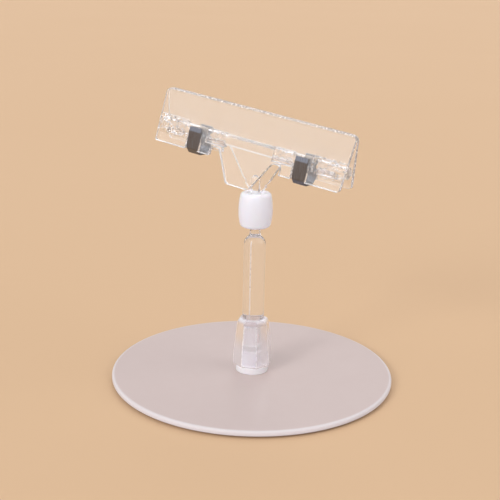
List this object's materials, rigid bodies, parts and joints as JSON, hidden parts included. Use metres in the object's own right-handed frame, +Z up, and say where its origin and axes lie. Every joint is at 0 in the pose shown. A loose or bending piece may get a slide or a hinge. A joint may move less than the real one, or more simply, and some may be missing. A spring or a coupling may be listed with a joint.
{
  "type": "table sign holder",
  "caption": "Table sign holder with a flat round base, a clear turning post, a white ball-joint barrel and a long clear spring clip that grips a card along its edge.",
  "frame": {"origin": "centre of the base, on the surface that it stands on", "axes": "+Z up; X along the clip's length; -Y is the front side, where a card is read"},
  "size_m": [0.11, 0.11, 0.1122],
  "materials": {
    "white_coated_steel": "satin white powder coat",
    "grey_foam": "matt closed-cell foam",
    "zinc_steel": "zinc plated",
    "white_plastic": "satin moulded",
    "frosted_plastic": "frosted translucent",
    "clear_plastic": "clear polished",
    "white_gloss_plastic": "glossy moulded",
    "spring_steel": "dark rolled strip"
  },
  "bodies": {
    "base": {"base_plate": "white_coated_steel", "base_pad": "grey_foam", "base_screw": "zinc_steel", "hub": "white_plastic"},
    "collar": {"collar_nut": "frosted_plastic"},
    "post": {"stem": "clear_plastic"},
    "barrel": {"barrel": "white_gloss_plastic"},
    "rear_clip": {"rear_jaw": "clear_plastic", "left_spring": "spring_steel", "right_spring": "spring_steel"},
    "front_clip": {"front_jaw": "clear_plastic"}
  },
  "joints": [
    {"name": "collar_turn", "type": "hinge", "parent": "base", "child": "collar", "pos_m": [0, 0, 0.015], "axis": [0, 0, 1], "range_deg": [0, 90]},
    {"name": "post_swivel", "type": "hinge", "parent": "base", "child": "post", "pos_m": [0, 0, 0.03], "axis": [0, 0, 1], "continuous": true},
    {"name": "barrel_tilt", "type": "hinge", "parent": "post", "child": "barrel", "pos_m": [0, 0, 0.06495], "axis": [0, 1, 0], "range_deg": [-20, 20]},
    {"name": "clip_nod", "type": "hinge", "parent": "barrel", "child": "rear_clip", "pos_m": [0, 0, 0.07155], "axis": [0.9919, -0.0075, -0.1268], "range_deg": [-30, 10]},
    {"name": "jaw_open", "type": "hinge", "parent": "rear_clip", "child": "front_clip", "pos_m": [0.00278, -0.00767, 0.09377], "axis": [0.9919, -0.0075, -0.1268], "range_deg": [0, 22], "stiffness_Nm_per_rad": 0.12, "springref_deg": -20.05, "deforming": ["left_spring", "right_spring"]}
  ]
}
